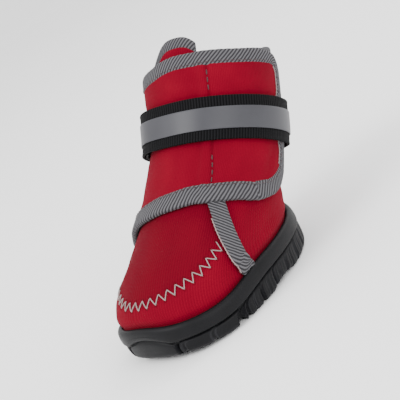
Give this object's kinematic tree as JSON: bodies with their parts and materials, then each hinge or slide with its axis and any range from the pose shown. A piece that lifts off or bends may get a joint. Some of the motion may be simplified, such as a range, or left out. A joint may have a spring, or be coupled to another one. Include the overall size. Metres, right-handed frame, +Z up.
{
  "type": "dog bootie",
  "caption": "Left dog bootie: rubber cup sole with side lugs, hollow soft upper, wrap flap with bound edges and a hook-and-loop strap with a reflective stripe.",
  "frame": {"origin": "on the floor, under the middle of the bounding box", "axes": "+Z up, the toe points along -Y, +X is the bootie's own left and outer side"},
  "size_m": [0.0738, 0.1432, 0.1105],
  "materials": {
    "rubber": "matt moulded rubber",
    "board": "dark foam sock liner",
    "neoprene": "red ribbed stretch fabric on foam, black lining",
    "twill": "grey twill binding tape",
    "webbing": "black hook-and-loop webbing",
    "reflector": "grey retroreflective tape"
  },
  "bodies": {
    "root": {"outsole": "rubber", "insole": "board", "upper": "neoprene", "tongue": "neoprene", "tongue_binding": "twill", "collar_binding": "twill", "wrap_flap": "neoprene", "flap_binding": "twill", "quarter_binding": "twill", "strap": "webbing", "reflective_tape": "reflector"}
  },
  "joints": []
}
